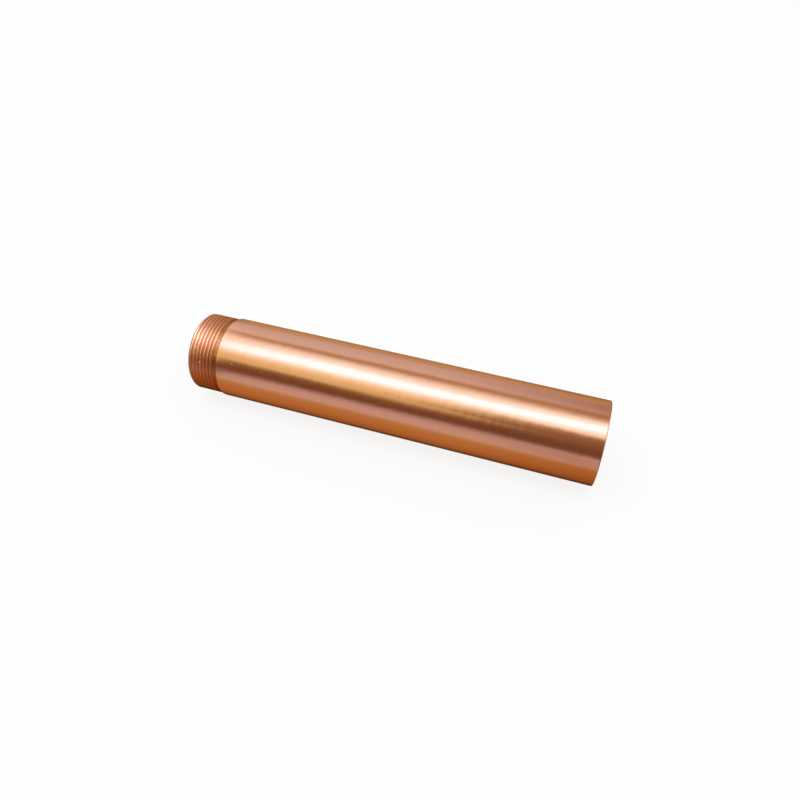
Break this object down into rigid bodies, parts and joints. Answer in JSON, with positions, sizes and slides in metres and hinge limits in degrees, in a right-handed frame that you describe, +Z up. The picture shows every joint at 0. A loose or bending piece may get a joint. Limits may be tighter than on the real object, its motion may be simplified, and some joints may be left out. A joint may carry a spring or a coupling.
{
  "type": "copper pipe length",
  "caption": "Straight copper pipe length, turned down at one end to a short spigot with a fine external thread, relief groove and rounded shoulder; the other end is cut square.",
  "frame": {"origin": "on the floor, under the middle of the pipe's length", "axes": "+X along the pipe's axis from the threaded end to the plain end, +Z up"},
  "size_m": [0.16, 0.0318, 0.0318],
  "materials": {
    "copper": "satin"
  },
  "bodies": {
    "root": {"copper_pipe": "copper"}
  },
  "joints": []
}
